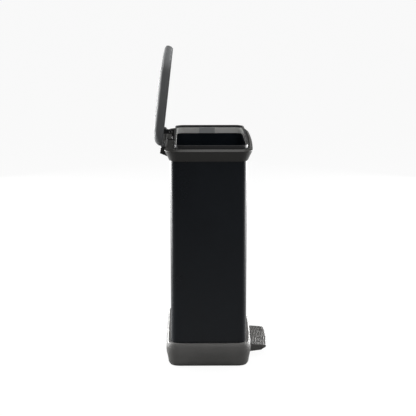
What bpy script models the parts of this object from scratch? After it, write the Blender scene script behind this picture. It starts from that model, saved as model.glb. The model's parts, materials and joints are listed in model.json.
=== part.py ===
"""Pedal bin with a rod-driven lid, modelled as its separate pieces.

The bin stands on the floor at z = 0 and faces -Y.  It is built with the lid open and the pedal
down.  Places are given in the bin's own coordinates, x = y = 0 at the middle of the body, and the
whole bin is then moved so that the middle of its bounding box stands over the origin.
"""
import math

import bmesh
import bpy
from mathutils import Vector

# ---------------------------------------------------------------- driving dimensions, metres

GAP = 0.0003                   # between pieces that touch
RUNNING_GAP = 0.0004           # round a pin that turns
MOVING_GAP = 0.0010            # between a moving piece and what it passes

# Body: a tapered bucket with a channel for the push rod down its back.
BODY_HALF_WIDTH = 0.1825
BODY_HALF_DEPTH = 0.0957
BODY_TAPER = 0.0012
BODY_CORNER = 0.022
BODY_WALL = 0.0022
BODY_FLOOR = 0.0025
BODY_BOTTOM = 0.0578
BODY_TOP = 0.5460
FRONT_BOW = 0.0035
CHANNEL_HALF_WIDTH = 0.0100
CHANNEL_DEPTH = 0.0103

# Base moulding.
PLINTH_TOP = 0.0600
PLINTH_BOTTOM = 0.0010
PLINTH_BULGE = 0.0120
PLINTH_BULGE_Z = 0.0420
PLINTH_LEDGE = 0.0068
PLINTH_TOE = 0.0015
PLINTH_WALL = 0.0025
PLINTH_CLEARANCE = 0.0005
SEAT_THICKNESS = 0.0027
CHIN_PROUD = 0.0010
CHIN_CORNER = 0.0070
CHIN_BOTTOM = 0.0080
CHIN_TOP = 0.0300
CHIN_RELIEF = 0.0168
CHIN_DEPTH = 0.0245
FOOT_INSET_X = 0.0325
FOOT_INSET_Y = 0.0257
FOOT_RADIUS = 0.0090
FOOT_HEIGHT = 0.0037

# Collar.
COLLAR_DROP = 0.0242           # its lower edge, below the body's top
COLLAR_LIP = 0.0015
COLLAR_FLARE = 0.0133
COLLAR_EDGE_RISE = 0.0008      # heights named RISE are above the body's top
COLLAR_LAND = 0.0010
COLLAR_CHAMFER_WIDTH = 0.0065
COLLAR_CHAMFER_RISE = 0.0050
COLLAR_CREST = 0.0012
COLLAR_WALL = 0.0022
LEDGE_RISE = 0.0030

# Bag ring and the band inside it.
RING_RISE = 0.0155
RING_WALL = 0.0030
RING_REAR_INSET = 0.0118
BAND_THICKNESS = 0.0008
BAND_RISE = 0.0095
BAND_HEIGHT = 0.0155
CLIP_HALF_LENGTH = 0.0205
CLIP_THICKNESS = 0.0010
LUG_HALF_WIDTH = 0.0015
LUG_SPACING = 0.066

# Hinge and its housing.
HINGE_SETBACK = 0.0035         # behind the back of the collar, as are the next two
HINGE_RISE = 0.0110
HINGE_X = 0.1250
KNUCKLE_RADIUS = 0.0060
KNUCKLE_HALF_LENGTH = 0.0060
EAR_RADIUS = 0.0058
EAR_LENGTH = 0.0050
PIN_RADIUS = 0.0020
HOUSING_OVERHANG = 0.0070
HOUSING_RISE = 0.0035
HOUSING_HEIGHT = 0.0238
HOUSING_HEEL = 0.0088
HOUSING_DEPTH = 0.0115
HOUSING_TOP_DEPTH = 0.0090
HOUSING_WALL = 0.0020
HOUSING_RIB_X = (-0.100, -0.035, 0.035, 0.100)
HOUSING_RIB_HALF_WIDTH = 0.0060

# Lid, in its closed place.
LID_SWING = math.radians(83.5)
LID_BOTTOM_RISE = 0.0016
LID_HEIGHT = 0.0269
LID_WALL = 0.0022
LID_CORNER = 0.035
LID_SETBACK = 0.0025
LINER_RISE = 0.0180
LINER_THICKNESS = 0.0018
LINER_SCREW_INSET = 0.0308
LINER_SCREW_Y = 0.070
BUMPER_X = 0.100
BUMPER_RADIUS = 0.0040

# Drive: pedal, lever, rod and crank.
PEDAL_SWING = math.radians(10.0)
PIVOT_INSET = 0.0357
PIVOT_Z = 0.0300
AXLE_RADIUS = 0.0030
HUB_RADIUS = 0.0075
TREAD_HALF_WIDTH = 0.0925
TREAD_LENGTH = 0.0404          # in front of the chin
TREAD_FRONT_BOW = 0.0030
TREAD_TOP = 0.0310
TREAD_TOE_TOP = 0.0288
TREAD_UNDERSIDE = 0.0126
TREAD_TOE_UNDERSIDE = 0.0215
TREAD_CORNER = 0.0080
RIB_START = 0.0040             # in front of the chin
RIB_COUNT = 8
RIB_PITCH = 0.0042
RIB_HEIGHT = 0.0009
TREAD_GAP = 0.0028
NOTCH_CORNER = 0.0040
ARM_WIDTH = 0.0225
ARM_UNDERSIDE = 0.0150
SADDLE_LENGTH = 0.0120
SADDLE_HALF_DEPTH = 0.0150
SADDLE_BOTTOM = 0.0220
KEEPER_THICKNESS = 0.0030
LEVER_HALF_WIDTH = 0.0120
LEVER_THICKNESS = 0.0030
LEVER_SEAT_Z = 0.0268
LEVER_END_Z = 0.0426
ROD_INSET = 0.0039             # behind the floor of the channel
ROD_RADIUS = 0.0020
FOOT_CUP_RADIUS = 0.0050
FOOT_CUP_HEIGHT = 0.0090
HEAD_HALF_WIDTH = 0.0040
HEAD_HALF_HEIGHT = 0.0050
HEAD_WALL = 0.0020
STEM_WALL = 0.0008
STEM_HALF_WIDTH = 0.0035
HEAD_STEM = 0.0080
CRANK_PIN_RADIUS = 0.0018
SLOT_CLEARANCE = 0.0008
CHEEK_THICKNESS = 0.0024
CHEEK_EYE = 0.0045
PIN_PROUD = 0.0010
CRANK_FLANGE_RISE = 0.0207
CRANK_FLANGE_THICKNESS = 0.0030
CRANK_FLANGE_HALF_WIDTH = 0.0160
CRANK_FLANGE_REACH = 0.0335    # in front of the hinge
CRANK_FLANGE_GAP = 0.0065
COVER_THICKNESS = 0.0015
GUIDE_HEIGHT = 0.0100
GUIDE_Z = (0.150, 0.450)

# Screws.
SCREW_HEAD_RADIUS = 0.0030
SCREW_HEAD_HEIGHT = 0.0019
SCREW_RADIUS = 0.0014

# ---------------------------------------------------------------- worked out from the above

CHANNEL_FLOOR_Y = BODY_HALF_DEPTH - CHANNEL_DEPTH
ROD_Y = CHANNEL_FLOOR_Y + ROD_INSET
PIVOT_Y = PIVOT_INSET - BODY_HALF_DEPTH
ROD_TRAVEL = (ROD_Y - PIVOT_Y) * math.sin(PEDAL_SWING)
CRANK_RADIUS = ROD_TRAVEL / (2 * math.sin(LID_SWING / 2))
FOOT_X = BODY_HALF_WIDTH - FOOT_INSET_X
FOOT_Y = BODY_HALF_DEPTH - FOOT_INSET_Y
PLINTH_FRONT = BODY_HALF_DEPTH - BODY_TAPER + PLINTH_BULGE + FRONT_BOW
CHIN_FRONT = PLINTH_FRONT + CHIN_PROUD
TREAD_FRONT = CHIN_FRONT + TREAD_LENGTH
CHIN_HALF_WIDTH = TREAD_HALF_WIDTH - ARM_WIDTH - NOTCH_CORNER - 2 * MOVING_GAP
COLLAR_HALF_WIDTH = BODY_HALF_WIDTH + COLLAR_FLARE
COLLAR_HALF_DEPTH = BODY_HALF_DEPTH + COLLAR_FLARE
COLLAR_BOTTOM = BODY_TOP - COLLAR_DROP
COLLAR_EDGE_Z = BODY_TOP + COLLAR_EDGE_RISE
LEDGE_Z = BODY_TOP + LEDGE_RISE
RING_TOP = BODY_TOP + RING_RISE
BAND_TOP = BODY_TOP + BAND_RISE
BAND_BOTTOM = BAND_TOP - BAND_HEIGHT
HINGE_Y = COLLAR_HALF_DEPTH + HINGE_SETBACK
HINGE_Z = BODY_TOP + HINGE_RISE
LID_BOTTOM = HINGE_Z + LID_BOTTOM_RISE
HOUSING_HALF_WIDTH = HINGE_X + HOUSING_OVERHANG
HOUSING_BACK = COLLAR_HALF_DEPTH + HOUSING_DEPTH
HOUSING_TOP_BACK = COLLAR_HALF_DEPTH + HOUSING_TOP_DEPTH
HOUSING_TOP = BODY_TOP + HOUSING_RISE
HOUSING_BOTTOM = HOUSING_TOP - HOUSING_HEIGHT
HOUSING_HEEL_Z = HOUSING_BOTTOM + HOUSING_HEEL
LINER_Z = BODY_TOP + LINER_RISE
LINER_SCREW_X = COLLAR_HALF_WIDTH - LINER_SCREW_INSET
CRANK_FLANGE_Z = BODY_TOP + CRANK_FLANGE_RISE
CRANK_FLANGE_FRONT = HINGE_Y - CRANK_FLANGE_REACH
CRANK_FLANGE_BACK = HINGE_Y - CRANK_FLANGE_GAP
SEAT_Z = BODY_BOTTOM - GAP
CREST_Z = COLLAR_EDGE_Z + COLLAR_LAND + COLLAR_CHAMFER_RISE
RING_INNER = -BODY_WALL
RING_OUTER = RING_INNER + RING_WALL
SADDLE_X = TREAD_HALF_WIDTH + 2 * MOVING_GAP
AXLE_REACH = SADDLE_X + SADDLE_LENGTH + GAP
KNUCKLE_SPAN = KNUCKLE_HALF_LENGTH + MOVING_GAP / 2 + EAR_LENGTH

CORNER_STEPS = 6
FRONT_STEPS = 8
ROUND_STEPS = 20
SCREW_STEPS = 12
HINGE_AXIS = (0.0, HINGE_Y, HINGE_Z)
PIVOT_AXIS = (0.0, PIVOT_Y, PIVOT_Z)


# ---------------------------------------------------------------- scene, frames and materials

def empty_scene():
    for item in list(bpy.data.objects):
        bpy.data.objects.remove(item, do_unlink=True)


def collection(name):
    group = bpy.data.collections.new(name)
    bpy.context.scene.collection.children.link(group)
    return group


def frame(name, place=(0.0, 0.0, 0.0), parent=None, turn=0.0):
    """An empty that pieces hang on: it stands on their joint's axis."""
    pivot = bpy.data.objects.new(name, None)
    pivot.empty_display_size = 0.02
    pivot.location = place
    pivot.rotation_euler.x = turn
    pivot.parent = parent
    PARTS.objects.link(pivot)
    return pivot


def finish(name, colour, roughness, metallic=0.0):
    material = bpy.data.materials.new(name)
    material.use_nodes = True
    shader = material.node_tree.nodes["Principled BSDF"]
    shader.inputs["Base Color"].default_value = (*colour, 1.0)
    shader.inputs["Roughness"].default_value = roughness
    shader.inputs["Metallic"].default_value = metallic
    return material


# ---------------------------------------------------------------- shapes

def add_object(name, mesh, pivot, material=None):
    """Put a mesh, drawn in the bin's coordinates, on its frame.  Without a material it is a tool."""
    item = bpy.data.objects.new(name, mesh)
    item.parent = pivot
    item.location = -pivot.location
    if material is None:
        TOOLS.objects.link(item)
        item.hide_render = True
        item.display_type = 'WIRE'
    else:
        PARTS.objects.link(item)
        item.data.materials.append(material)
    return item


def to_mesh(name, shape):
    mesh = bpy.data.meshes.new(name)
    shape.normal_update()
    shape.to_mesh(mesh)
    shape.free()
    return mesh


def soften(item, width, segments=2, angle=40.0):
    bevel = item.modifiers.new("edges", 'BEVEL')
    bevel.width = width
    bevel.segments = segments
    bevel.limit_method = 'ANGLE'
    bevel.angle_limit = math.radians(angle)
    return item


def smooth(item, angle=35.0):
    item.data.shade_smooth()
    item.data.set_sharp_from_angle(angle=math.radians(angle))
    return item


def block(name, low, high, pivot, material=None):
    """A box between two corners."""
    low, high = Vector(low), Vector(high)
    shape = bmesh.new()
    bmesh.ops.create_cube(shape, size=1.0)
    bmesh.ops.scale(shape, vec=high - low, verts=shape.verts)
    bmesh.ops.translate(shape, vec=(low + high) / 2, verts=shape.verts)
    return add_object(name, to_mesh(name, shape), pivot, material)


def bar(name, start, end, radius, pivot, material=None, steps=ROUND_STEPS):
    """A round bar from one point to another."""
    start, end = Vector(start), Vector(end)
    shape = bmesh.new()
    bmesh.ops.create_cone(shape, cap_ends=True, segments=steps, radius1=radius, radius2=radius,
                          depth=(end - start).length)
    turn = (end - start).to_track_quat('Z', 'X').to_matrix()
    bmesh.ops.rotate(shape, cent=(0, 0, 0), matrix=turn, verts=shape.verts)
    bmesh.ops.translate(shape, vec=(start + end) / 2, verts=shape.verts)
    item = add_object(name, to_mesh(name, shape), pivot, material)
    return smooth(item)


def turned(name, profile, place, pivot, material):
    """A turned piece: its profile runs down the outer side, from the axis back to the axis."""
    shape = bmesh.new()
    verts = [shape.verts.new((radius, 0.0, height)) for radius, height in profile]
    for upper, lower in zip(verts, verts[1:]):
        shape.edges.new((upper, lower))
    item = add_object(name, to_mesh(name, shape), pivot, material)
    item.location = Vector(place) - pivot.location
    screw = item.modifiers.new("turn", 'SCREW')
    screw.steps = ROUND_STEPS
    screw.render_steps = ROUND_STEPS
    screw.use_merge_vertices = True
    screw.merge_threshold = 0.00001
    screw.use_smooth_shade = True
    return item


def slab(name, points, start_x, end_x, pivot, material=None):
    """A flat outline of (y, z) points, drawn thick from one x to another."""
    curve = bpy.data.curves.new(name, 'CURVE')
    curve.dimensions = '2D'
    curve.fill_mode = 'BOTH'
    curve.extrude = abs(end_x - start_x) / 2
    spline = curve.splines.new('POLY')
    spline.points.add(len(points) - 1)
    for target, (y, z) in zip(spline.points, points):
        target.co = (y, z, 0.0, 1.0)
    spline.use_cyclic_u = True
    drawn = bpy.data.objects.new(name + "_outline", curve)
    TOOLS.objects.link(drawn)
    graph = bpy.context.evaluated_depsgraph_get()
    mesh = bpy.data.meshes.new_from_object(drawn.evaluated_get(graph))
    bpy.data.objects.remove(drawn)
    bpy.data.curves.remove(curve)
    middle = (start_x + end_x) / 2
    for vert in mesh.vertices:
        y, z, thick = vert.co
        vert.co = (middle + thick, y, z)
    shape = bmesh.new()
    shape.from_mesh(mesh)
    bmesh.ops.remove_doubles(shape, verts=shape.verts, dist=0.00001)
    bmesh.ops.recalc_face_normals(shape, faces=shape.faces)
    bpy.data.meshes.remove(mesh)
    return add_object(name, to_mesh(name, shape), pivot, material)


def corner_arc(centre_x, centre_y, radius, start_angle):
    """A quarter circle, anticlockwise."""
    arc = []
    for step in range(CORNER_STEPS + 1):
        angle = math.radians(start_angle + 90.0 * step / CORNER_STEPS)
        arc.append((centre_x + radius * math.cos(angle), centre_y + radius * math.sin(angle)))
    return arc


def outline(half_width, front, rear, corner, back_points=()):
    """A rounded rectangle seen from above, anticlockwise, whose front side bows out."""
    flat = half_width - corner
    points = corner_arc(-flat, -front + corner, corner, 180.0)
    for step in range(1, FRONT_STEPS):
        share = 2.0 * step / FRONT_STEPS - 1.0
        points.append((share * flat, -front - FRONT_BOW * (1.0 - share * share)))
    points += corner_arc(flat, -front + corner, corner, 270.0)
    points += corner_arc(flat, rear - corner, corner, 0.0)
    points += list(back_points)
    points += corner_arc(-flat, rear - corner, corner, 90.0)
    return points


def section(points, height):
    return [(x, y, height) for x, y in points]


def loft(name, sections, pivot, material, hoop=False):
    """A skin through a stack of sections.  A hoop closes on itself, the rest is capped."""
    shape = bmesh.new()
    rings = [[shape.verts.new(point) for point in ring] for ring in sections]
    following = rings[1:] + rings[:1] if hoop else rings[1:]
    for ring, above in zip(rings, following):
        for index, vert in enumerate(ring):
            after = (index + 1) % len(ring)
            shape.faces.new((vert, ring[after], above[after], above[index]))
    if not hoop:
        shape.faces.new(rings[0][::-1])
        shape.faces.new(rings[-1])
    bmesh.ops.recalc_face_normals(shape, faces=shape.faces)
    return smooth(add_object(name, to_mesh(name, shape), pivot, material))


def cut(item, tool):
    boolean = item.modifiers.new("cut " + tool.name, 'BOOLEAN')
    boolean.operation = 'DIFFERENCE'
    boolean.object = tool


def join(item, tool):
    boolean = item.modifiers.new("join " + tool.name, 'BOOLEAN')
    boolean.operation = 'UNION'
    boolean.object = tool


def screw(name, seat, direction, length, pivot, pieces, sunk=False):
    """A screw whose head stands on the seat; it leaves a clear hole in the pieces it passes."""
    seat, direction = Vector(seat), Vector(direction).normalized()
    under_head = seat + direction * (-GAP)
    head_top = under_head - direction * SCREW_HEAD_HEIGHT
    item = bar(name, head_top, under_head, SCREW_HEAD_RADIUS, pivot, STEEL, SCREW_STEPS)
    shank = bar(name + "_shank", under_head - direction * SCREW_HEAD_HEIGHT / 2,
                seat + direction * length, SCREW_RADIUS, pivot, None, SCREW_STEPS)
    join(item, shank)
    hole = bar(name + "_hole", seat - direction * SCREW_HEAD_HEIGHT,
               seat + direction * (length + GAP), SCREW_RADIUS + GAP, pivot, None, SCREW_STEPS)
    for piece in pieces:
        cut(piece, hole)
    if sunk:
        sink = bar(name + "_sink", seat - direction * 0.01, seat, SCREW_HEAD_RADIUS + GAP, pivot, None,
                   SCREW_STEPS)
        cut(pieces[0], sink)
    return item


# ---------------------------------------------------------------- body

def body_inset(height):
    """How far the tapered wall has drawn in at a height."""
    return BODY_TAPER * (BODY_TOP - height) / (BODY_TOP - BODY_BOTTOM)


def body_outline(height, inset=0.0):
    """The body's section, with the rod channel pressed into its back."""
    drawn_in = body_inset(height) + inset
    rear = BODY_HALF_DEPTH - drawn_in
    side = CHANNEL_HALF_WIDTH + inset
    floor = CHANNEL_FLOOR_Y - inset
    channel = ((side, rear), (side, floor), (-side, floor), (-side, rear))
    return outline(BODY_HALF_WIDTH - drawn_in, rear, rear, BODY_CORNER - inset, channel)


def make_body():
    inner_floor = BODY_BOTTOM + BODY_FLOOR
    sections = [section(body_outline(BODY_BOTTOM), BODY_BOTTOM),
                section(body_outline(BODY_TOP), BODY_TOP),
                section(body_outline(BODY_TOP, BODY_WALL), BODY_TOP),
                section(body_outline(inner_floor, BODY_WALL), inner_floor)]
    return loft("body_bucket", sections, BIN, BLACK_SATIN)


def make_rod_cover():
    """A strip that closes the channel, flush with the tapered back of the body."""
    low = PLINTH_TOP + GAP
    high = COLLAR_BOTTOM - GAP
    half = CHANNEL_HALF_WIDTH - GAP
    cover = block("rod_cover", (-half, 0.0, low), (half, COVER_THICKNESS, high), BIN, BLACK_SATIN)
    for vert in cover.data.vertices:
        vert.co.y += BODY_HALF_DEPTH - body_inset(vert.co.z) - COVER_THICKNESS
    return cover


def make_rod_guides():
    half = CHANNEL_HALF_WIDTH - GAP
    for name, height in zip(("rod_guide_lower", "rod_guide_upper"), GUIDE_Z):
        back = BODY_HALF_DEPTH - body_inset(height) - COVER_THICKNESS - GAP
        guide = block(name, (-half, CHANNEL_FLOOR_Y + GAP, height),
                      (half, back, height + GUIDE_HEIGHT), BIN, DARK_PLASTIC)
        over = height + 2 * GUIDE_HEIGHT
        cut(guide, bar(name + "_bore", (0, ROD_Y, height - GUIDE_HEIGHT), (0, ROD_Y, over),
                       ROD_RADIUS + RUNNING_GAP, BIN))


# ---------------------------------------------------------------- base

def plinth_outline(offset):
    """The base's section, measured outwards from the foot of the body."""
    drawn_in = BODY_TAPER
    depth = BODY_HALF_DEPTH - drawn_in + offset
    return outline(BODY_HALF_WIDTH - drawn_in + offset, depth, depth, BODY_CORNER + offset)


def plinth_skin():
    """Offsets and heights down the outside of the base: a soft barrel that turns under."""
    drop = PLINTH_BULGE_Z - PLINTH_BOTTOM
    turned_in = PLINTH_BULGE - PLINTH_TOE
    skin = [(PLINTH_LEDGE, PLINTH_TOP),
            (PLINTH_LEDGE + 0.45 * (PLINTH_BULGE - PLINTH_LEDGE), PLINTH_TOP - 0.0030),
            (PLINTH_BULGE - 0.0008, PLINTH_BULGE_Z + 0.0080)]
    for share_in, share_down in ((0.0, 0.0), (0.08, 0.22), (0.28, 0.44), (0.42, 0.62), (0.52, 0.82),
                                 (0.67, 0.90), (1.0, 1.0)):
        skin.append((PLINTH_BULGE - share_in * turned_in, PLINTH_BULGE_Z - share_down * drop))
    return skin


def make_chin():
    """The nose under the front wall that fills the space between the pedal's arms."""
    sections = []
    for back, height in ((0.0025, CHIN_BOTTOM), (0.0, CHIN_BOTTOM + 0.0040), (0.0, CHIN_TOP - 0.0030),
                         (0.0008, CHIN_TOP - 0.0010), (0.0025, CHIN_TOP)):
        points = outline(CHIN_HALF_WIDTH, CHIN_FRONT - back - FRONT_BOW, CHIN_DEPTH - CHIN_FRONT, CHIN_CORNER)
        sections.append(section(points, height))
    return loft("chin", sections, BIN, None)


def make_plinth():
    skin = plinth_skin()
    underside = SEAT_Z - SEAT_THICKNESS
    inside = [(offset - PLINTH_WALL, height) for offset, height in reversed(skin)
              if height < underside]
    profile = [(PLINTH_CLEARANCE, SEAT_Z), (PLINTH_CLEARANCE, PLINTH_TOP)] + skin + inside
    profile.append((PLINTH_BULGE - PLINTH_WALL - 0.0010, underside))
    sections = [section(plinth_outline(offset), height) for offset, height in profile]
    plinth = loft("base_plinth", sections, BIN, GREY_SATIN)

    for side in (-1, 1):
        inner = side * SADDLE_X
        outer = side * (SADDLE_X + SADDLE_LENGTH)
        join(plinth, block("saddle", (min(inner, outer), PIVOT_Y - SADDLE_HALF_DEPTH, SADDLE_BOTTOM),
                           (max(inner, outer), PIVOT_Y + SADDLE_HALF_DEPTH, underside + 0.001), BIN))
        for end in (-1, 1):
            join(plinth, bar("foot_boss", (side * FOOT_X, end * FOOT_Y, FOOT_HEIGHT + GAP),
                             (side * FOOT_X, end * FOOT_Y, underside + 0.001), FOOT_RADIUS, BIN))
    reach = AXLE_REACH + 0.0015
    cut(plinth, bar("axle_bore", (-reach, PIVOT_Y, PIVOT_Z), (reach, PIVOT_Y, PIVOT_Z),
                    AXLE_RADIUS + GAP, BIN))
    cut(plinth, block("axle_slot", (-reach, PIVOT_Y - AXLE_RADIUS - GAP, SADDLE_BOTTOM - 0.002),
                      (reach, PIVOT_Y + AXLE_RADIUS + GAP, PIVOT_Z), BIN))

    lift = (CHIN_FRONT + PIVOT_Y) * math.sin(PEDAL_SWING)
    slot_back = CHIN_FRONT - 0.0300
    for side in (-1, 1):
        near = side * (CHIN_HALF_WIDTH - CHIN_RELIEF)
        far = side * (TREAD_HALF_WIDTH + 1.5 * MOVING_GAP)
        cut(plinth, block("arm_slot",
                          (min(near, far), -CHIN_FRONT - 0.01, TREAD_UNDERSIDE - 2 * MOVING_GAP),
                          (max(near, far), -slot_back, TREAD_TOP + lift + 3 * MOVING_GAP), BIN))
    join(plinth, make_chin())
    cut(plinth, bar("rod_hole", (0, ROD_Y, underside - 0.01), (0, ROD_Y, PLINTH_TOP),
                    FOOT_CUP_RADIUS + MOVING_GAP, BIN))
    return plinth


def make_feet():
    number = 0
    for x in (-FOOT_X, FOOT_X):
        for y in (-FOOT_Y, FOOT_Y):
            number += 1
            turned(f"foot_{number}", [(0.0, FOOT_HEIGHT), (FOOT_RADIUS, FOOT_HEIGHT),
                                      (FOOT_RADIUS, 0.0008), (FOOT_RADIUS - 0.0008, 0.0), (0.0, 0.0)],
                   (x, y, 0.0), BIN, RUBBER)


# ---------------------------------------------------------------- collar and bag ring

def rim_outline(offset, rear_inset=0.0):
    """A section of the rim, measured outwards from the top of the body."""
    front = BODY_HALF_DEPTH + offset
    return outline(BODY_HALF_WIDTH + offset, front, front - rear_inset, BODY_CORNER + offset)


def collar_profile():
    """Offset, height and rear inset of each corner of the collar's wall, outside first."""
    slope = (COLLAR_FLARE - COLLAR_LIP) / (COLLAR_EDGE_Z - COLLAR_BOTTOM)
    sideways = COLLAR_WALL * math.sqrt(1.0 + slope * slope)
    ceiling = LEDGE_Z - COLLAR_WALL - 0.0005
    crest = COLLAR_FLARE - COLLAR_CHAMFER_WIDTH
    meet = COLLAR_BOTTOM + (GAP - COLLAR_LIP + sideways) / slope
    return [(COLLAR_LIP, COLLAR_BOTTOM, 0.0),
            (COLLAR_FLARE, COLLAR_EDGE_Z, 0.0),
            (COLLAR_FLARE, COLLAR_EDGE_Z + COLLAR_LAND, 0.0),
            (crest, CREST_Z, 0.0),
            (crest - COLLAR_CREST, CREST_Z, 0.0),
            (crest - COLLAR_CREST, LEDGE_Z, 0.0),
            (-BODY_WALL, LEDGE_Z, RING_REAR_INSET),
            (-BODY_WALL, ceiling, RING_REAR_INSET),
            (COLLAR_LIP - sideways + slope * (ceiling - COLLAR_BOTTOM), ceiling, 0.0),
            (GAP, meet, 0.0),
            (GAP, COLLAR_BOTTOM, 0.0)]


def make_collar():
    sections = [section(rim_outline(offset, inset), height)
                for offset, height, inset in collar_profile()]
    collar = loft("collar", sections, BIN, DARK_GREY_SATIN, hoop=True)
    ring_back = BODY_HALF_DEPTH + RING_OUTER - RING_REAR_INSET
    pocket = crank_half_width() + PIN_PROUD + MOVING_GAP
    cut(collar, block("crank_pocket", (-pocket, ring_back + GAP, COLLAR_BOTTOM - 0.005),
                      (pocket, CRANK_FLANGE_BACK + MOVING_GAP, CREST_Z + 0.010), BIN))
    for side in (-1, 1):
        reach = KNUCKLE_SPAN + MOVING_GAP
        cut(collar, bar("hinge_notch", (side * HINGE_X - reach, HINGE_Y, HINGE_Z),
                        (side * HINGE_X + reach, HINGE_Y, HINGE_Z), EAR_RADIUS + 1.2 * MOVING_GAP, BIN))
    return collar


def make_bag_ring():
    low = LEDGE_Z + GAP
    profile = [(RING_INNER, low), (RING_OUTER, low), (RING_OUTER, RING_TOP), (RING_INNER, RING_TOP)]
    sections = [section(rim_outline(offset, RING_REAR_INSET), height) for offset, height in profile]
    ring = loft("bag_ring", sections, BIN, DARK_PLASTIC, hoop=True)
    lug_end = COLLAR_FLARE - COLLAR_CHAMFER_WIDTH - COLLAR_CREST - GAP
    for side in (-1, 1):
        for y in (-LUG_SPACING, 0.0, LUG_SPACING):
            inner = side * (BODY_HALF_WIDTH + RING_OUTER - 0.001)
            outer = side * (BODY_HALF_WIDTH + lug_end)
            join(ring, block("lug", (min(inner, outer), y - LUG_HALF_WIDTH, low),
                             (max(inner, outer), y + LUG_HALF_WIDTH, CREST_Z - 0.001), BIN))
    return ring


def make_band():
    """A bright hoop that hangs from the inside of the ring."""
    outer = RING_INNER - GAP
    inner = outer - BAND_THICKNESS
    profile = [(inner, BAND_BOTTOM), (outer, BAND_BOTTOM), (outer, BAND_TOP), (inner, BAND_TOP)]
    sections = [section(rim_outline(offset, RING_REAR_INSET), height) for offset, height in profile]
    return loft("ring_band", sections, BIN, BRIGHT_METAL, hoop=True)


def make_clips():
    """A plate on the inside of the band in the middle of each short side."""
    back = BODY_HALF_WIDTH + RING_INNER - GAP - BAND_THICKNESS - GAP
    for name, side in (("bag_clip_left", -1), ("bag_clip_right", 1)):
        reach = sorted((side * (back - CLIP_THICKNESS), side * back))
        block(name, (reach[0], -CLIP_HALF_LENGTH, BAND_BOTTOM), (reach[1], CLIP_HALF_LENGTH, BAND_TOP), BIN,
              CLIP_GREY)


# ---------------------------------------------------------------- hinge

def flare_y(height):
    """The back of the collar's flared wall at a height."""
    slope = (COLLAR_FLARE - COLLAR_LIP) / (COLLAR_EDGE_Z - COLLAR_BOTTOM)
    return BODY_HALF_DEPTH + COLLAR_LIP + slope * (height - COLLAR_BOTTOM)


def make_housing():
    clearance = 1.3 * GAP
    shape = [(flare_y(HOUSING_TOP) + clearance, HOUSING_TOP),
             (flare_y(HOUSING_BOTTOM) + clearance, HOUSING_BOTTOM),
             (HOUSING_BACK, HOUSING_HEEL_Z),
             (HOUSING_TOP_BACK, HOUSING_TOP)]
    housing = slab("hinge_housing", shape, -HOUSING_HALF_WIDTH, HOUSING_HALF_WIDTH, BIN, DARK_GREY_SATIN)

    wall = HOUSING_WALL
    hollow = [(flare_y(HOUSING_TOP - wall) - 0.004, HOUSING_TOP - wall),
              (flare_y(HOUSING_BOTTOM) - 0.006, HOUSING_BOTTOM + 1.2 * wall),
              (flare_y(HOUSING_BOTTOM) + 1.5 * wall, HOUSING_BOTTOM + 1.7 * wall),
              (HOUSING_BACK - wall, HOUSING_HEEL_Z + 0.5 * wall),
              (HOUSING_TOP_BACK - wall, HOUSING_TOP - wall)]
    rib = HOUSING_RIB_HALF_WIDTH
    end = HOUSING_HALF_WIDTH - wall
    starts = [-end] + [x + rib for x in HOUSING_RIB_X]
    stops = [x - rib for x in HOUSING_RIB_X] + [end]
    for start, stop in zip(starts, stops):
        cut(housing, slab("hollow", hollow, start, stop, BIN))

    for side in (-1, 1):
        middle = side * HINGE_X
        low, high = middle - KNUCKLE_HALF_LENGTH, middle + KNUCKLE_HALF_LENGTH
        knuckle = bar("knuckle", (low, HINGE_Y, HINGE_Z), (high, HINGE_Y, HINGE_Z), KNUCKLE_RADIUS, BIN)
        join(housing, knuckle)
        post_front = flare_y(HOUSING_TOP) + clearance
        post_back = HOUSING_TOP_BACK - 0.001
        join(housing, block("post", (low, post_front, HOUSING_TOP - wall), (high, post_back, HINGE_Z), BIN))
    return housing


def make_pins():
    half = KNUCKLE_SPAN + 0.0010
    for name, side in (("hinge_pin_left", -1), ("hinge_pin_right", 1)):
        middle = side * HINGE_X
        pin = bar(name, (middle - half, HINGE_Y, HINGE_Z), (middle + half, HINGE_Y, HINGE_Z),
                  PIN_RADIUS, BIN, STEEL)
        soften(pin, 0.0004)


def pin_bore(pivot, suffix):
    reach = HINGE_X + KNUCKLE_SPAN + 0.01
    return bar("pin_bore_" + suffix, (-reach, HINGE_Y, HINGE_Z), (reach, HINGE_Y, HINGE_Z),
               PIN_RADIUS + RUNNING_GAP, pivot)


# ---------------------------------------------------------------- lid

def lid_skin():
    """Side, front and rear reach, corner and height of the lid's outside, from its hem upwards."""
    width = COLLAR_HALF_WIDTH
    depth = COLLAR_HALF_DEPTH - LID_SETBACK
    back = HINGE_Y
    rise = LID_HEIGHT / 0.0269
    corner = LID_CORNER
    return [(width - 0.0018, depth - 0.0058, back - 0.0017, corner - 0.002, 0.0),
            (width - 0.0018, depth - 0.0044, back - 0.0017, corner - 0.002, 0.0034 * rise),
            (width, depth - 0.0026, back, corner, 0.0036 * rise),
            (width, depth - 0.0008, back - 0.0008, corner, 0.0090 * rise),
            (width - 0.0001, depth, back - 0.0035, corner, 0.0135 * rise),
            (width - 0.0008, depth - 0.0012, back - 0.0080, corner, 0.0177 * rise),
            (width - 0.0030, depth - 0.0045, back - 0.0130, corner, 0.0205 * rise),
            (width - 0.0075, depth - 0.0100, back - 0.0190, corner - 0.004, 0.0225 * rise),
            (width - 0.0270, depth - 0.0290, back - 0.0385, corner - 0.006, 0.0245 * rise),
            (width - 0.0720, depth - 0.0610, back - 0.0725, corner - 0.010, 0.0262 * rise),
            (width - 0.1370, depth - 0.0960, back - 0.1000, corner - 0.023, LID_HEIGHT)]


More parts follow.
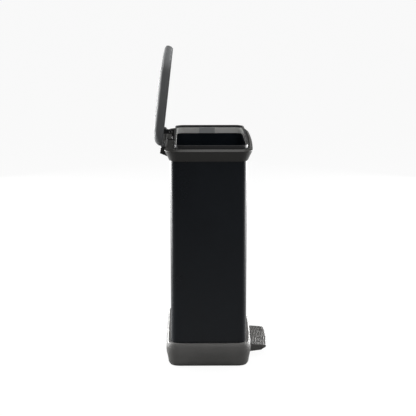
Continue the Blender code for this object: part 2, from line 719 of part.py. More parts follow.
def lid_lining():
    """The same for the lid's inside, one wall in, from the crown down to the hem."""
    skin = lid_skin()
    lining = []
    for side, front, rear, corner, height in reversed(skin[7:]):
        lining.append((side, front, rear, corner, height - LID_WALL))
    for side, front, rear, corner, height in reversed(skin[3:7]):
        lining.append((side - LID_WALL, front - LID_WALL, rear - LID_WALL - 0.0006, corner - LID_WALL,
                       height - 0.25 * LID_WALL))
    side, front, rear, corner, height = skin[1]
    lining.append((side - 0.2 * LID_WALL, front - 0.4 * LID_WALL, rear - LID_WALL, corner - LID_WALL,
                   height + 0.5 * LID_WALL))
    side, front, rear, corner, height = skin[0]
    lining.append((side - LID_WALL, front - LID_WALL, rear - LID_WALL, corner - LID_WALL, 0.0))
    return lining


def make_lid():
    skin = [section(outline(*row[:4]), LID_BOTTOM + row[4]) for row in reversed(lid_skin())]
    lining = [section(outline(*row[:4]), LID_BOTTOM + row[4]) for row in reversed(lid_lining())]
    lid = loft("lid_shell", skin + lining, LID, GREY_SATIN)

    crown = LID_BOTTOM + LID_HEIGHT
    boss_front = CRANK_FLANGE_FRONT - 0.001
    boss_back = CRANK_FLANGE_BACK - 0.010
    boss_low = CRANK_FLANGE_Z + CRANK_FLANGE_THICKNESS + GAP
    boss = [(boss_front, boss_low),
            (boss_back, boss_low),
            (boss_back, crown - 0.0063),
            (boss_front, crown - 0.0040)]
    join(lid, slab("crank_boss", boss, -CRANK_FLANGE_HALF_WIDTH, CRANK_FLANGE_HALF_WIDTH, LID))
    for x in (-LINER_SCREW_X, LINER_SCREW_X):
        for y in (-LINER_SCREW_Y, LINER_SCREW_Y):
            join(lid, bar("liner_boss", (x, y, LINER_Z + LINER_THICKNESS + GAP),
                          (x, y, LID_BOTTOM + LID_HEIGHT - 0.0035), 0.0045, LID))
    for side in (-1, 1):
        middle = side * HINGE_X
        clear = KNUCKLE_HALF_LENGTH + MOVING_GAP
        cut(lid, bar("knuckle_room", (middle - clear, HINGE_Y, HINGE_Z), (middle + clear, HINGE_Y, HINGE_Z),
                     KNUCKLE_RADIUS + 2 * MOVING_GAP, LID))
        for end in (-1, 1):
            start = middle + end * (KNUCKLE_HALF_LENGTH + MOVING_GAP / 2)
            join(lid, bar("ear", (start, HINGE_Y, HINGE_Z), (start + end * EAR_LENGTH, HINGE_Y, HINGE_Z),
                          EAR_RADIUS, LID))
    cut(lid, pin_bore(LID, "lid"))
    return lid


def make_liner():
    side, front, rear, corner, _ = lid_skin()[0]
    inset = LID_WALL - 0.0010
    points = outline(side - inset, front - inset, rear - 0.0070, corner - inset)
    liner = loft("lid_liner", [section(points, LINER_Z), section(points, LINER_Z + LINER_THICKNESS)],
                 LID, DARK_GREY_SATIN)
    window = CRANK_FLANGE_HALF_WIDTH + 0.0025
    cut(liner, block("crank_window", (-window, CRANK_FLANGE_FRONT - 0.003, LINER_Z - 0.01),
                     (window, HINGE_Y + 0.01, LINER_Z + 0.01), LID))
    return liner


def crank_half_width():
    return HEAD_HALF_WIDTH + 0.6 * MOVING_GAP + CHEEK_THICKNESS


def crank_pin_place():
    """Where the crank pin is with the lid closed: below and in front of the hinge."""
    angle = math.pi + LID_SWING / 2
    return HINGE_Y + CRANK_RADIUS * math.cos(angle), HINGE_Z + CRANK_RADIUS * math.sin(angle)


def make_crank():
    pin_y, pin_z = crank_pin_place()
    flange_top = CRANK_FLANGE_Z + CRANK_FLANGE_THICKNESS
    crank = block("lid_crank", (-CRANK_FLANGE_HALF_WIDTH, CRANK_FLANGE_FRONT, CRANK_FLANGE_Z),
                  (CRANK_FLANGE_HALF_WIDTH, CRANK_FLANGE_BACK, flange_top), LID, DARK_PLASTIC)
    eye = []
    for step in range(9):
        angle = math.radians(175.0 + 185.0 * step / 8)
        eye.append((pin_y + CHEEK_EYE * math.cos(angle), pin_z + CHEEK_EYE * math.sin(angle)))
    root = flange_top - 0.001
    shape = [(CRANK_FLANGE_BACK, root), (HINGE_Y - CRANK_RADIUS - 0.0020, root)] + eye
    outer = crank_half_width()
    for side in (-1, 1):
        join(crank, slab("cheek", shape, side * (outer - CHEEK_THICKNESS), side * outer, LID))
    cut(crank, bar("crank_bore", (-0.02, pin_y, pin_z), (0.02, pin_y, pin_z), CRANK_PIN_RADIUS + GAP, LID))
    reach = outer + PIN_PROUD
    bar("crank_pin", (-reach, pin_y, pin_z), (reach, pin_y, pin_z), CRANK_PIN_RADIUS, LID, STEEL, steps=16)
    return crank


def make_bumpers():
    top = LINER_Z - GAP
    low = RING_TOP + GAP
    share = BUMPER_X / (BODY_HALF_WIDTH - BODY_CORNER)
    y = -(BODY_HALF_DEPTH + (RING_INNER + RING_OUTER) / 2 + FRONT_BOW * (1 - share * share))
    for name, x in (("lid_bumper_left", -BUMPER_X), ("lid_bumper_right", BUMPER_X)):
        turned(name, [(0.0, top - low), (BUMPER_RADIUS, top - low), (BUMPER_RADIUS, 0.0006),
                      (BUMPER_RADIUS - 0.0006, 0.0), (0.0, 0.0)], (x, y, low), LID, RUBBER)


# ---------------------------------------------------------------- rod and pedal

def make_rod():
    pin_y, _ = crank_pin_place()
    slot_z = HINGE_Z + CRANK_RADIUS * math.sin(LID_SWING / 2)
    reach = CRANK_PIN_RADIUS + SLOT_CLEARANCE
    slot_front = HINGE_Y - CRANK_RADIUS - reach
    slot_back = pin_y + reach
    front = ROD_Y - ROD_RADIUS - GAP - STEM_WALL
    head = block("rod_head", (-HEAD_HALF_WIDTH, front, slot_z - HEAD_HALF_HEIGHT),
                 (HEAD_HALF_WIDTH, slot_back + HEAD_WALL, slot_z + HEAD_HALF_HEIGHT), ROD, DARK_PLASTIC)
    stem_low = slot_z - HEAD_HALF_HEIGHT - HEAD_STEM
    back = ROD_Y + ROD_RADIUS + GAP + STEM_WALL
    join(head, block("stem", (-STEM_HALF_WIDTH, front, stem_low),
                     (STEM_HALF_WIDTH, back, slot_z - HEAD_HALF_HEIGHT + 0.0005), ROD))
    cut(head, block("pin_slot", (-0.01, slot_front, slot_z - reach), (0.01, slot_back, slot_z + reach), ROD))
    rod_top = slot_z - HEAD_HALF_HEIGHT - 0.0012
    cut(head, bar("rod_socket", (0, ROD_Y, stem_low - 0.005), (0, ROD_Y, rod_top + GAP),
                  ROD_RADIUS + GAP, ROD, steps=16))

    cup_low = LEVER_END_Z + RUNNING_GAP
    rod_low = cup_low + 0.0035
    bar("push_rod", (0, ROD_Y, rod_low), (0, ROD_Y, rod_top), ROD_RADIUS, ROD, STEEL, steps=16)
    dome = []
    for step in range(5):
        angle = math.radians(90.0 * step / 4)
        dome.append((FOOT_CUP_RADIUS * math.cos(angle), FOOT_CUP_RADIUS * (1 - math.sin(angle))))
    socket = ROD_RADIUS + GAP
    socket_floor = rod_low - GAP - cup_low
    cup = [(0.0, socket_floor), (socket, socket_floor), (socket, FOOT_CUP_HEIGHT),
           (FOOT_CUP_RADIUS, FOOT_CUP_HEIGHT)]
    turned("rod_foot", cup + dome, (0, ROD_Y, cup_low), ROD, DARK_PLASTIC)


def tread_section(x):
    """The pedal's side view at one x, ribs on top, from the hub forward and back underneath."""
    half = TREAD_HALF_WIDTH
    edge = max(0.0, abs(x) - (half - TREAD_CORNER))
    rounding = TREAD_CORNER - math.sqrt(max(0.0, TREAD_CORNER ** 2 - edge ** 2))
    bow = TREAD_FRONT_BOW * (x / half) ** 2
    front = -TREAD_FRONT + bow + rounding
    rib = RIB_HEIGHT if abs(x) < half - TREAD_CORNER / 2 else 0.0
    ribbed = TREAD_LENGTH - RIB_START
    fall = (TREAD_TOP - TREAD_TOE_TOP) / ribbed
    squeeze = 1.0 - rounding / ribbed
    points = [(PIVOT_Y, TREAD_TOP)]
    for number in range(RIB_COUNT):
        for across, up in ((0.0012, 0.0), (0.0007, rib), (-0.0007, rib), (-0.0012, 0.0)):
            reach = across - number * RIB_PITCH
            points.append((-CHIN_FRONT - RIB_START + bow + reach * squeeze, TREAD_TOP + fall * reach + up))
    points += [(front + 0.0015, TREAD_TOE_TOP), (front, TREAD_TOE_TOP - 0.0015),
               (front, TREAD_TOE_UNDERSIDE + 0.0010), (front + 0.0015, TREAD_TOE_UNDERSIDE),
               (0.0144 - TREAD_FRONT, TREAD_UNDERSIDE + 0.0040), (0.0030 - CHIN_FRONT, TREAD_UNDERSIDE),
               (PIVOT_Y, ARM_UNDERSIDE)]
    return [(x, y, z) for y, z in points]


def make_pedal():
    half = TREAD_HALF_WIDTH
    curve = [-half + TREAD_CORNER * (1 - math.cos(math.radians(angle))) for angle in (0, 25, 50)]
    stations = curve + [-half + 0.55 * TREAD_CORNER]
    stations += [share * (half - TREAD_CORNER) for share in (-1.0, -0.6, -0.2, 0.2, 0.6, 1.0)]
    stations += [-x for x in reversed(stations[:4])]
    tread = loft("pedal_tread", [tread_section(x) for x in sorted(stations)], PEDAL, GREY_SATIN)
    notch_front = CHIN_FRONT + TREAD_GAP - FRONT_BOW
    notch = outline(half - ARM_WIDTH, notch_front, PIVOT_Y + 2 * HUB_RADIUS, NOTCH_CORNER)
    cut(tread, loft("tread_notch", [section(notch, 0.0), section(notch, 2 * PIVOT_Z)], PEDAL, None))
    end = half + GAP
    join(tread, bar("hub", (-end, PIVOT_Y, PIVOT_Z), (end, PIVOT_Y, PIVOT_Z), HUB_RADIUS, PEDAL))
    pad_top = LEVER_SEAT_Z - GAP
    join(tread, block("lever_pad", (-LEVER_HALF_WIDTH - 0.004, PIVOT_Y - 0.0030, pad_top - 0.0030),
                      (LEVER_HALF_WIDTH + 0.004, PIVOT_Y + 0.036, pad_top), PEDAL))
    cut(tread, bar("hub_bore", (-half - 0.01, PIVOT_Y, PIVOT_Z), (half + 0.01, PIVOT_Y, PIVOT_Z),
                   AXLE_RADIUS + RUNNING_GAP, PEDAL))
    return tread


def make_lever():
    start = PIVOT_Y + HUB_RADIUS + MOVING_GAP
    bend = PIVOT_Y + 0.038
    end = ROD_Y + FOOT_CUP_RADIUS
    thick = LEVER_THICKNESS
    rise = (LEVER_END_Z - LEVER_SEAT_Z - thick) / (ROD_Y - bend)
    end_z = LEVER_SEAT_Z + rise * (end - bend)
    shape = [(start, LEVER_SEAT_Z), (bend, LEVER_SEAT_Z), (end, end_z), (end, end_z + thick),
             (bend, LEVER_SEAT_Z + thick), (start, LEVER_SEAT_Z + thick)]
    return slab("lever_arm", shape, -LEVER_HALF_WIDTH, LEVER_HALF_WIDTH, PEDAL, STEEL)


def make_axle():
    bar("pedal_axle", (-AXLE_REACH, PIVOT_Y, PIVOT_Z), (AXLE_REACH, PIVOT_Y, PIVOT_Z), AXLE_RADIUS, BIN,
        STEEL)


def make_keepers(plinth):
    number = 0
    for name, side in (("axle_keeper_left", -1), ("axle_keeper_right", 1)):
        ends = sorted((side * SADDLE_X, side * (SADDLE_X + SADDLE_LENGTH)))
        top = SADDLE_BOTTOM - GAP
        keeper = block(name, (ends[0], PIVOT_Y - SADDLE_HALF_DEPTH, top - KEEPER_THICKNESS),
                       (ends[1], PIVOT_Y + SADDLE_HALF_DEPTH, top), BIN, DARK_PLASTIC)
        for end in (-1, 1):
            number += 1
            place = (sum(ends) / 2, PIVOT_Y + end * 0.6 * SADDLE_HALF_DEPTH, top - KEEPER_THICKNESS)
            screw(f"keeper_screw_{number}", place, (0, 0, 1), 0.0100, BIN, (keeper, plinth))


# ---------------------------------------------------------------- the bin

def centre_on_floor():
    """Move the bin so that the middle of its bounding box stands over the origin."""
    bpy.context.view_layer.update()
    graph = bpy.context.evaluated_depsgraph_get()
    reach = []
    for item in PARTS.objects:
        if item.type == 'MESH':
            shape = item.evaluated_get(graph)
            mesh = shape.to_mesh()
            reach += [(shape.matrix_world @ vert.co).y for vert in mesh.vertices]
            shape.to_mesh_clear()
    BIN.location.y -= (min(reach) + max(reach)) / 2
    bpy.context.view_layer.update()


empty_scene()
PARTS = collection("pedal_bin")
TOOLS = collection("pedal_bin_cutters")
bpy.context.view_layer.update()

BLACK_SATIN = finish("body black", (0.011, 0.014, 0.018), 0.38)
GREY_SATIN = finish("grey plastic", (0.075, 0.074, 0.072), 0.42)
DARK_GREY_SATIN = finish("collar plastic", (0.030, 0.029, 0.027), 0.42)
DARK_PLASTIC = finish("black plastic", (0.012, 0.012, 0.013), 0.50)
BRIGHT_METAL = finish("bright band", (0.62, 0.62, 0.60), 0.28, 1.0)
CLIP_GREY = finish("clip grey", (0.30, 0.31, 0.30), 0.45)
STEEL = finish("steel", (0.50, 0.50, 0.51), 0.30, 1.0)
RUBBER = finish("rubber", (0.015, 0.015, 0.015), 0.80)

BIN = frame("bin_frame")
LID = frame("lid_hinge", HINGE_AXIS, BIN, -LID_SWING)
PEDAL = frame("pedal_pivot", PIVOT_AXIS, BIN)
ROD = frame("rod_slide", (0.0, ROD_Y, 0.0), BIN)

make_body()
make_rod_cover()
make_rod_guides()
base = make_plinth()
make_feet()
rim = make_collar()
make_bag_ring()
make_band()
make_clips()
house = make_housing()
cut(house, pin_bore(BIN, "housing"))
make_pins()
lid_part = make_lid()
panel = make_liner()
fork = make_crank()
make_bumpers()
make_rod()
treadle = make_pedal()
arm = make_lever()
make_axle()
make_keepers(base)

for count, x in enumerate(HOUSING_RIB_X, start=1):
    screw(f"housing_screw_{count}", (x, HOUSING_TOP_BACK - HOUSING_WALL / 2, BAND_BOTTOM), (0, -1, 0), 0.0170,
          BIN, (house, rim), sunk=True)
for count, x in enumerate((-0.0125, 0.0125), start=1):
    screw(f"crank_screw_{count}", (x, CRANK_FLANGE_FRONT + 0.0060, CRANK_FLANGE_Z), (0, 0, 1), 0.0090,
          LID, (fork, lid_part))
for count, (x, y) in enumerate(((-1, -1), (1, -1), (-1, 1), (1, 1)), start=1):
    screw(f"liner_screw_{count}", (x * LINER_SCREW_X, y * LINER_SCREW_Y, LINER_Z), (0, 0, 1), 0.0100,
          LID, (panel, lid_part))
for count, y in enumerate((0.015, 0.028), start=1):
    screw(f"lever_screw_{count}", (0.0, PIVOT_Y + y, LEVER_SEAT_Z + LEVER_THICKNESS), (0, 0, -1), 0.0080,
          PEDAL, (arm, treadle))

centre_on_floor()
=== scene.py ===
"""Looks of a kitchen pedal bin: black tapered bucket, grey mouldings, lid open and pedal down."""
import json
import math

import bmesh
import bpy
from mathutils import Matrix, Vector


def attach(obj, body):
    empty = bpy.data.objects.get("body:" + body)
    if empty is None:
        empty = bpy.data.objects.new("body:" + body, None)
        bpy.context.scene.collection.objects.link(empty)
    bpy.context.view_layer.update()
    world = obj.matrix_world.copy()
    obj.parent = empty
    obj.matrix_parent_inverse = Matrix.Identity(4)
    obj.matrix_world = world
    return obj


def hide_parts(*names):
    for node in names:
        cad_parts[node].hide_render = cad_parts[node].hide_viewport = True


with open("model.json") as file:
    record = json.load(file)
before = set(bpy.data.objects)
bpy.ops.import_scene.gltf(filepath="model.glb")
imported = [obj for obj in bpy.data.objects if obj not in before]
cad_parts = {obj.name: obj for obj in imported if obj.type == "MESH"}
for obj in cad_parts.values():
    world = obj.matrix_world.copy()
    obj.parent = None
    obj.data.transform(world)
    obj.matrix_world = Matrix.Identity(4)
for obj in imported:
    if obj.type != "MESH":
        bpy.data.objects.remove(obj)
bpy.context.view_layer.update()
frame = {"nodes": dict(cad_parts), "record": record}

# ---------------------------------------------------------------- viewpoint and studio
# The bin stands on a pale studio floor and is seen square on to its left-hand short side, from
# four metres away and a little above it, through a long lens.

VIEW_DISTANCE = 3.99
VIEW_HEIGHT = 1.143
VIEW_TILT = math.radians(10.96)
VIEW_YAW = math.radians(0.63)
VIEW_LENS = 135.9
VIEW_SIDEWAYS = 0.0520

camera = bpy.data.objects.new("camera", bpy.data.cameras.new("camera"))
camera.data.lens = VIEW_LENS
camera.data.clip_end = 100.0
camera.location = (-VIEW_DISTANCE, VIEW_SIDEWAYS, VIEW_HEIGHT)
camera.rotation_euler = (math.pi / 2 - VIEW_TILT, 0.0, -math.pi / 2 - VIEW_YAW)
bpy.context.scene.collection.objects.link(camera)
bpy.context.scene.camera = camera
bpy.context.scene.view_settings.view_transform = 'Standard'


def add_node(tree, kind, **values):
    """A shader node with its settings and plain input values."""
    node = tree.nodes.new("ShaderNode" + kind)
    for name, value in values.items():
        if name in node.bl_rna.properties:
            setattr(node, name, value)
        else:
            node.inputs[name.replace("_", " ")].default_value = value
    return node


def wire(tree, source, output, target, socket):
    tree.links.new(source.outputs[output], target.inputs[socket])


world = bpy.data.worlds.new("studio")
bpy.context.scene.world = world
world.use_nodes = True
sky = world.node_tree
sky.nodes.clear()
seen = add_node(sky, "Background", Color=(1.0, 1.0, 1.0, 1.0), Strength=1.05)
cast = add_node(sky, "Background", Color=(1.0, 1.0, 1.0, 1.0), Strength=0.12)
choose = add_node(sky, "MixShader")
path = add_node(sky, "LightPath")
wire(sky, path, "Is Camera Ray", choose, 0)
wire(sky, cast, 0, choose, 1)
wire(sky, seen, 0, choose, 2)
wire(sky, choose, 0, add_node(sky, "OutputWorld"), 0)

floor_shape = bmesh.new()
bmesh.ops.create_grid(floor_shape, x_segments=1, y_segments=1, size=30.0)
floor_mesh = bpy.data.meshes.new("studio_floor")
floor_shape.to_mesh(floor_mesh)
floor_shape.free()
studio_floor = bpy.data.objects.new("studio_floor", floor_mesh)
studio_floor.location.z = -0.0003
bpy.context.scene.collection.objects.link(studio_floor)

floor_paint = bpy.data.materials.new("floor_paint")
floor_paint.use_nodes = True
paint = floor_paint.node_tree
paint.nodes.clear()
pale = add_node(paint, "BsdfPrincipled", Base_Color=(0.80, 0.80, 0.80, 1.0), Roughness=0.70)
glow = add_node(paint, "Emission", Color=(1.0, 1.0, 1.0, 1.0), Strength=1.06)
lit = add_node(paint, "MixShader", Fac=0.88)
shown = add_node(paint, "MixShader")
ray = add_node(paint, "LightPath")
floor_place = add_node(paint, "NewGeometry")
floor_axes = add_node(paint, "SeparateXYZ")
behind = add_node(paint, "MapRange", From_Min=-0.10, From_Max=0.50, To_Min=0.0, To_Max=0.9)
dim = add_node(paint, "BsdfPrincipled", Base_Color=(0.28, 0.28, 0.28, 1.0), Roughness=0.80)
cast_back = add_node(paint, "MixShader")
wire(paint, pale, 0, lit, 1)
wire(paint, glow, 0, lit, 2)
wire(paint, floor_place, "Position", floor_axes, 0)
wire(paint, floor_axes, "X", behind, 0)
wire(paint, behind, 0, cast_back, 0)
wire(paint, dim, 0, cast_back, 1)
wire(paint, glow, 0, cast_back, 2)
wire(paint, ray, "Is Camera Ray", shown, 0)
wire(paint, cast_back, 0, shown, 1)
wire(paint, lit, 0, shown, 2)
wire(paint, shown, 0, add_node(paint, "OutputMaterial"), 0)
floor_mesh.materials.append(floor_paint)


def softbox(name, place, aim, width, height, power):
    """A rectangular studio light."""
    light = bpy.data.lights.new(name, 'AREA')
    light.shape = 'RECTANGLE'
    light.size = width
    light.size_y = height
    light.energy = power
    lamp = bpy.data.objects.new(name, light)
    lamp.location = place
    lamp.rotation_euler = (Vector(aim) - Vector(place)).to_track_quat('-Z', 'Y').to_euler()
    bpy.context.scene.collection.objects.link(lamp)


softbox("overhead", (-0.3, 0.0, 2.6), (0.0, 0.0, 0.3), 2.4, 2.4, 30.0)
softbox("left_strip", (0.60, 1.4, 0.55), (0.0, 0.0, 0.45), 1.0, 1.8, 40.0)
softbox("right_strip", (0.60, -1.4, 0.55), (0.0, 0.0, 0.40), 1.0, 1.8, 30.0)
softbox("left_rim", (2.2, 1.5, 0.35), (0.0, 0.0, 0.30), 1.2, 0.7, 42.0)
softbox("right_rim", (2.2, -1.5, 0.35), (0.0, 0.0, 0.30), 1.2, 0.7, 40.0)
softbox("near_fill", (-3.2, -0.9, 2.3), (0.0, 0.0, 0.4), 1.4, 1.0, 16.0)

# ---------------------------------------------------------------- bucket
# A one-piece bucket that narrows a little towards the floor, with a channel for the push rod down
# its back.  It is pressed and coated in satin black; the coat has a faint orange peel.

record = frame["record"]
body_of_node = {node: body for body, nodes in record["behaviour"]["bodies"].items() for node in nodes}


def add_piece(name, mesh, material, *nodes):
    """A visible piece that stands for one or more of the bin's solids and moves with them."""
    piece = bpy.data.objects.new(name, mesh)
    bpy.context.scene.collection.objects.link(piece)
    mesh.materials.clear()
    mesh.materials.append(material)
    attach(piece, body_of_node[nodes[0]])
    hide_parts(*nodes)
    return piece


def finished(node, name, material, edge=0.0004, sharp=35.0):
    """A solid with its facets made whole, its edges broken and its round faces smooth."""
    shape = bmesh.new()
    shape.from_mesh(frame["nodes"][node].data)
    bmesh.ops.remove_doubles(shape, verts=shape.verts, dist=1e-6)
    bmesh.ops.dissolve_limit(shape, angle_limit=math.radians(0.3), verts=shape.verts, edges=shape.edges)
    mesh = bpy.data.meshes.new(name)
    shape.to_mesh(mesh)
    shape.free()
    mesh.shade_smooth()
    mesh.set_sharp_from_angle(angle=math.radians(sharp))
    piece = add_piece(name, mesh, material, node)
    if edge:
        rounding = piece.modifiers.new("broken edges", 'BEVEL')
        rounding.width = edge
        rounding.segments = 2
        rounding.limit_method = 'ANGLE'
        rounding.angle_limit = math.radians(sharp)
        rounding.harden_normals = True
    return piece


def group(name, inputs, outputs):
    """An empty node group with its named inputs and outputs."""
    tree = bpy.data.node_groups.new(name, 'ShaderNodeTree')
    for label, kind, value in inputs:
        socket = tree.interface.new_socket(name=label, in_out='INPUT', socket_type=kind)
        if value is not None:
            socket.default_value = value
    for label, kind in outputs:
        tree.interface.new_socket(name=label, in_out='OUTPUT', socket_type=kind)
    return tree, tree.nodes.new("NodeGroupInput"), tree.nodes.new("NodeGroupOutput")


# Surface grain: the fine bite of a mould or a coat, and the slow drift in gloss over a hand's width.
grain, taken, given = group("surface_grain",
                            [("Vector", 'NodeSocketVector', None), ("Grain Size", 'NodeSocketFloat', 0.0008),
                             ("Stretch", 'NodeSocketVector', (1.0, 1.0, 1.0))],
                            [("Height", 'NodeSocketFloat'), ("Drift", 'NodeSocketFloat')])
stretched = add_node(grain, "VectorMath", operation='MULTIPLY')
fineness = add_node(grain, "Math", operation='DIVIDE')
fineness.inputs[0].default_value = 1.0
fine = add_node(grain, "TexNoise", Detail=3.0, Roughness=0.55)
slow = add_node(grain, "TexNoise", Scale=9.0, Detail=4.0, Roughness=0.6)
slow_spread = add_node(grain, "MapRange", From_Min=0.30, From_Max=0.70)
wire(grain, taken, "Vector", stretched, 0)
wire(grain, taken, "Stretch", stretched, 1)
wire(grain, taken, "Grain Size", fineness, 1)
wire(grain, stretched, 0, fine, "Vector")
wire(grain, fineness, 0, fine, "Scale")
wire(grain, taken, "Vector", slow, "Vector")
wire(grain, fine, "Fac", given, "Height")
wire(grain, slow, "Fac", slow_spread, 0)
wire(grain, slow_spread, 0, given, "Drift")

# Edge wear: paler plastic where hands, bags and shoes rub an edge.
wear, taken, given = group("edge_wear",
                           [("Vector", 'NodeSocketVector', None), ("Reach", 'NodeSocketFloat', 0.001)],
                           [("Mask", 'NodeSocketFloat')])
rounded_off = add_node(wear, "Bevel", samples=4)
surface = add_node(wear, "NewGeometry")
agree = add_node(wear, "VectorMath", operation='DOT_PRODUCT')
turned_away = add_node(wear, "MapRange", From_Min=0.995, From_Max=0.80)
patchy = add_node(wear, "TexNoise", Scale=55.0, Detail=4.0)
patch_spread = add_node(wear, "MapRange", From_Min=0.35, From_Max=0.65, To_Min=0.25)
rubbed = add_node(wear, "Math", operation='MULTIPLY')
wire(wear, taken, "Reach", rounded_off, "Radius")
wire(wear, rounded_off, 0, agree, 0)
wire(wear, surface, "Normal", agree, 1)
wire(wear, agree, "Value", turned_away, 0)
wire(wear, taken, "Vector", patchy, "Vector")
wire(wear, patchy, "Fac", patch_spread, 0)
wire(wear, turned_away, 0, rubbed, 0)
wire(wear, patch_spread, 0, rubbed, 1)
wire(wear, rubbed, 0, given, "Mask")

# Settled dust: a thin film on faces that look up, thickest low down near the floor.
dust, taken, given = group("settled_dust",
                           [("Vector", 'NodeSocketVector', None)],
                           [("Mask", 'NodeSocketFloat')])
facing = add_node(dust, "NewGeometry")
split = add_node(dust, "SeparateXYZ")
upward = add_node(dust, "MapRange", From_Min=0.35, From_Max=1.0)
where = add_node(dust, "SeparateXYZ")
low_down = add_node(dust, "MapRange", From_Min=0.60, From_Max=0.0, To_Min=0.25, To_Max=1.0)
specks = add_node(dust, "TexNoise", Scale=160.0, Detail=6.0, Roughness=0.7)
speck_spread = add_node(dust, "MapRange", From_Min=0.40, From_Max=0.75)
lying = add_node(dust, "Math", operation='MULTIPLY')
film = add_node(dust, "Math", operation='MULTIPLY')
wire(dust, facing, "Normal", split, 0)
wire(dust, split, "Z", upward, 0)
wire(dust, taken, "Vector", where, 0)
wire(dust, where, "Z", low_down, 0)
wire(dust, taken, "Vector", specks, "Vector")
wire(dust, specks, "Fac", speck_spread, 0)
wire(dust, upward, 0, lying, 0)
wire(dust, low_down, 0, lying, 1)
wire(dust, lying, 0, film, 0)
wire(dust, speck_spread, 0, film, 1)
wire(dust, film, 0, given, "Mask")


def use_group(tree, inner, **values):
    node = tree.nodes.new("ShaderNodeGroup")
    node.node_tree = inner
    for name, value in values.items():
        node.inputs[name.replace("_", " ")].default_value = value
    return node


def surface_finish(name, colour, roughness, metallic=0.0, specular=0.5, grain_size=0.0008,
                   grain_depth=0.00004, stretch=(1.0, 1.0, 1.0), drift=0.10, shade=0.12, worn=None,
                   wear_reach=0.0010, wear_amount=0.5, dust_amount=0.10):
    """A finish made of its colour, its drift in gloss and shade, its grain, its worn edges and its dust."""
    material = bpy.data.materials.new(name)
    material.use_nodes = True
    tree = material.node_tree
    shader = tree.nodes["Principled BSDF"]
    shader.inputs["Metallic"].default_value = metallic
    shader.inputs["Specular IOR Level"].default_value = specular
    at = add_node(tree, "TexCoord")
    bite = use_group(tree, grain, Grain_Size=grain_size, Stretch=stretch)
    wire(tree, at, "Object", bite, "Vector")

    shaded = add_node(tree, "MixRGB", Color1=(*[c * (1 - shade) for c in colour], 1.0),
                      Color2=(*[min(1.0, c * (1 + shade)) for c in colour], 1.0))
    wire(tree, bite, "Drift", shaded, "Fac")
    rubbed_edge = use_group(tree, wear, Reach=wear_reach)
    wire(tree, at, "Object", rubbed_edge, "Vector")
    wear_share = add_node(tree, "Math", operation='MULTIPLY')
    wear_share.inputs[1].default_value = wear_amount
    wire(tree, rubbed_edge, "Mask", wear_share, 0)
    worn_colour = worn if worn else [min(1.0, c * 2.2 + 0.01) for c in colour]
    worn_mix = add_node(tree, "MixRGB", Color2=(*worn_colour, 1.0))
    wire(tree, wear_share, 0, worn_mix, "Fac")
    wire(tree, shaded, 0, worn_mix, "Color1")
    film_mask = use_group(tree, dust)
    wire(tree, at, "Object", film_mask, "Vector")
    film_share = add_node(tree, "Math", operation='MULTIPLY')
    film_share.inputs[1].default_value = dust_amount
    wire(tree, film_mask, "Mask", film_share, 0)
    dusty = add_node(tree, "MixRGB", Color2=(0.42, 0.40, 0.37, 1.0))
    wire(tree, film_share, 0, dusty, "Fac")
    wire(tree, worn_mix, 0, dusty, "Color1")
    wire(tree, dusty, 0, shader, "Base Color")

    gloss = add_node(tree, "MapRange", To_Min=roughness - drift / 2, To_Max=roughness + drift / 2)
    wire(tree, bite, "Drift", gloss, 0)
    powder = add_node(tree, "Math", operation='MULTIPLY_ADD')
    powder.inputs[1].default_value = 0.5
    wire(tree, film_share, 0, powder, 0)
    wire(tree, gloss, 0, powder, 2)
    wire(tree, powder, 0, shader, "Roughness")
    bump = add_node(tree, "Bump", Strength=1.0, Distance=grain_depth)
    wire(tree, bite, "Height", bump, "Height")
    wire(tree, bump, 0, shader, "Normal")
    return material


satin_black = surface_finish("satin_black", (0.0052, 0.0082, 0.0128), 0.30, specular=0.50, grain_size=0.0016,
                             grain_depth=0.00003, drift=0.06, wear_reach=0.0012, wear_amount=0.25,
                             dust_amount=0.04)
finished("body_bucket", "bucket", satin_black, edge=0.0006)

# ---------------------------------------------------------------- rod cover and guides
# A clip-in strip closes the rod channel, flush with the back; two small blocks inside it keep the
# rod straight.  All three are extruded or moulded black plastic.

strip_black = surface_finish("strip_black", (0.0085, 0.0095, 0.0110), 0.42, grain_size=0.0007,
                             dust_amount=0.05)
finished("rod_cover", "channel_strip", strip_black, edge=0.0003)
guide_black = surface_finish("guide_black", (0.010, 0.010, 0.011), 0.50, grain_size=0.0006)
for node, name in (("rod_guide_lower", "lower_guide"), ("rod_guide_upper", "upper_guide")):
    finished(node, name, guide_black, edge=0.0003)

# ---------------------------------------------------------------- base and feet
# The base is one grey moulding, barrel shaped outside and open below, with a nose in front between
# the pedal's arms.  Its skin has the fine spark-eroded texture of the mould.  Rubber feet are
# pressed into bosses under it.

base_grey = surface_finish("base_grey", (0.165, 0.163, 0.157), 0.46, grain_size=0.0007, grain_depth=0.00005,
                           wear_amount=0.35, dust_amount=0.10)
finished("base_plinth", "base_moulding", base_grey, edge=0.0006)
foot_rubber = surface_finish("foot_rubber", (0.014, 0.014, 0.014), 0.82, grain_size=0.0010,
                             grain_depth=0.00008)
for number in range(1, 5):
    finished(f"foot_{number}", f"rubber_foot_{number}", foot_rubber, edge=0.0)

# ---------------------------------------------------------------- collar
# A flared collar of darker plastic is pushed down over the top of the bucket.  Its upper edge is
# chamfered inwards to a narrow crest, and pockets in the back leave room for the hinges and crank.

collar_grey = surface_finish("collar_grey", (0.037, 0.036, 0.0335), 0.38, grain_size=0.0007,
                             grain_depth=0.00005, wear_amount=0.45, dust_amount=0.06)
finished("collar", "flared_collar", collar_grey, edge=0.0007)

# ---------------------------------------------------------------- bag ring, band and clips
# The bag ring stands on the collar's ledge on small lugs.  A bright steel hoop hangs inside it, and
# a dull plate lies against the hoop in the middle of each short side.

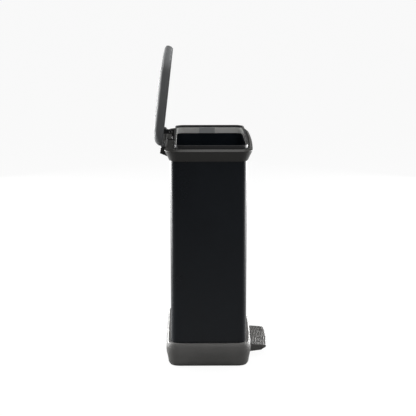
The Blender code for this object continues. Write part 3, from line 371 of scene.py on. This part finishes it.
ring_black = surface_finish("ring_black", (0.040, 0.040, 0.042), 0.38, grain_size=0.0006,
                            wear_amount=0.5)
finished("bag_ring", "bag_ring_moulding", ring_black, edge=0.0005)
band_steel = surface_finish("band_steel", (0.80, 0.80, 0.78), 0.34, metallic=0.25, grain_size=0.0006,
                            grain_depth=0.00001, stretch=(0.02, 0.02, 1.0), drift=0.10,
                            worn=(0.72, 0.72, 0.70), dust_amount=0.03)
finished("ring_band", "bright_band", band_steel, edge=0.0002)
plate_grey = surface_finish("plate_grey", (0.42, 0.43, 0.44), 0.48, grain_size=0.0006)
for node, name in (("bag_clip_left", "left_plate"), ("bag_clip_right", "right_plate")):
    finished(node, name, plate_grey, edge=0.0004)

# ---------------------------------------------------------------- hinge housing
# A wedge-shaped housing is screwed to the back of the collar; its two knuckles carry steel pins.

finished("hinge_housing", "hinge_wedge", collar_grey, edge=0.0005)
pin_steel = surface_finish("pin_steel", (0.50, 0.50, 0.51), 0.28, metallic=1.0, grain_size=0.0005,
                           grain_depth=0.00001, stretch=(0.05, 1.0, 1.0), worn=(0.62, 0.62, 0.62),
                           dust_amount=0.02)
for side in ("left", "right"):
    finished(f"hinge_pin_{side}", f"{side}_hinge_pin", pin_steel, edge=0.0)

# ---------------------------------------------------------------- lid
# The lid is a shallow dish of the same grey moulding as the base, with a flat liner panel screwed
# up inside it, two rubber bumpers and the crank that the rod pushes up to open it.

lid_grey = surface_finish("lid_grey", (0.150, 0.154, 0.157), 0.62, specular=0.25, grain_size=0.0007,
                          grain_depth=0.00005, wear_amount=0.40, dust_amount=0.08)
finished("lid_shell", "lid_dish", lid_grey, edge=0.0007)
liner_grey = surface_finish("liner_grey", (0.026, 0.026, 0.027), 0.52, grain_size=0.0008,
                            grain_depth=0.00006)
finished("lid_liner", "lid_panel", liner_grey, edge=0.0005)
finished("lid_crank", "crank_moulding", guide_black, edge=0.0004)
finished("crank_pin", "crank_cross_pin", pin_steel, edge=0.0)
for side in ("left", "right"):
    finished(f"lid_bumper_{side}", f"{side}_lid_bumper", foot_rubber, edge=0.0)

# ---------------------------------------------------------------- push rod
# A drawn steel rod with a moulded foot on the lever and a moulded slotted head round the crank pin.

finished("push_rod", "drawn_rod", pin_steel, edge=0.0)
finished("rod_head", "slotted_head", guide_black, edge=0.0004)
finished("rod_foot", "rod_shoe", guide_black, edge=0.0)

# ---------------------------------------------------------------- pedal, lever and axle
# The tread is a ribbed grey moulding whose arms pass through the base to a hub on a steel axle; a
# bent steel lever runs back from the hub to the rod.

tread_grey = surface_finish("tread_grey", (0.120, 0.117, 0.112), 0.50, grain_size=0.0007,
                            grain_depth=0.00005, wear_amount=0.6, dust_amount=0.16)
finished("pedal_tread", "ribbed_tread", tread_grey, edge=0.0003)
lever_zinc = surface_finish("lever_zinc", (0.46, 0.47, 0.48), 0.36, metallic=1.0, grain_size=0.004,
                            grain_depth=0.00002, drift=0.18, worn=(0.60, 0.60, 0.60), dust_amount=0.05)
finished("lever_arm", "bent_lever", lever_zinc, edge=0.0004)
finished("pedal_axle", "steel_axle", pin_steel, edge=0.0004)
for side in ("left", "right"):
    finished(f"axle_keeper_{side}", f"{side}_axle_strap", guide_black, edge=0.0004)

# ---------------------------------------------------------------- screws
# Zinc-plated pan-head screws with a cross recess hold the housing, the crank, the liner, the lever
# and the axle straps.

for node in sorted(body_of_node):
    if "_screw_" in node:
        finished(node, node.replace("_screw_", "_fixing_"), lever_zinc, edge=0.0002)
